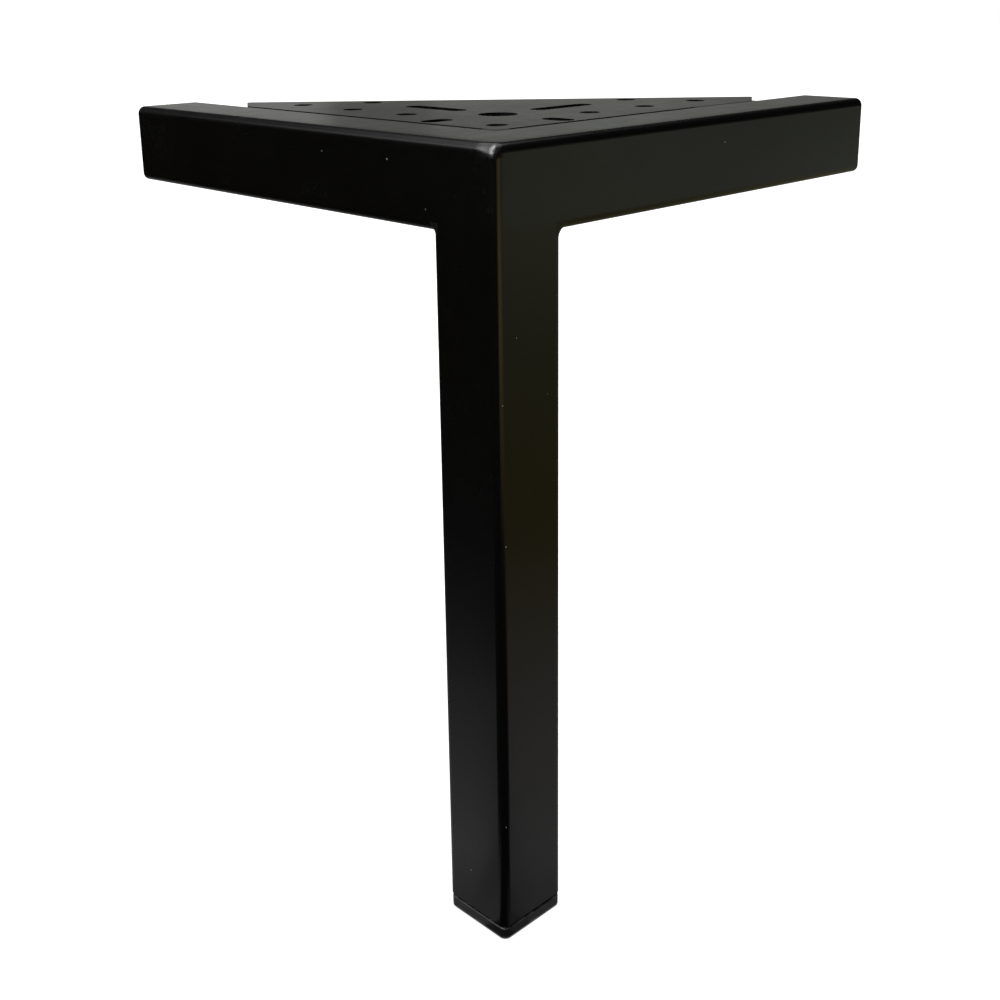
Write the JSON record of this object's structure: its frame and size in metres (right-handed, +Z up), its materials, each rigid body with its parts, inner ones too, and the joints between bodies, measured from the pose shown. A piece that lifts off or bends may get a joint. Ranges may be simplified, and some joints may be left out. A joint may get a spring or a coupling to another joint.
{
  "type": "square metal table leg",
  "caption": "Table corner leg of square steel tube: the leg and its arms are mitred at one corner, with a drilled triangular plate between the arms and a plug foot.",
  "frame": {"origin": "centre of the foot's bottom face, on the leg's axis", "axes": "+Z up along the leg to the table, +X along the right arm as seen from the outer corner, +Y along the left arm"},
  "size_m": [0.175, 0.175, 0.24],
  "materials": {
    "powder_coat": "satin black powder coat on steel tube",
    "plate_coat": "satin black powder coat on flat steel plate",
    "weld_coat": "satin black powder coat over weld beads",
    "plug_plastic": "moulded black plastic, fine matt grain"
  },
  "bodies": {
    "root": {"leg_tube": "powder_coat", "arm_tube_right": "powder_coat", "arm_tube_left": "powder_coat", "arm_end_plate_right": "powder_coat", "arm_end_plate_left": "powder_coat", "mounting_plate": "plate_coat", "corner_weld": "weld_coat", "plate_welds": "weld_coat", "foot_plug": "plug_plastic"}
  },
  "joints": []
}
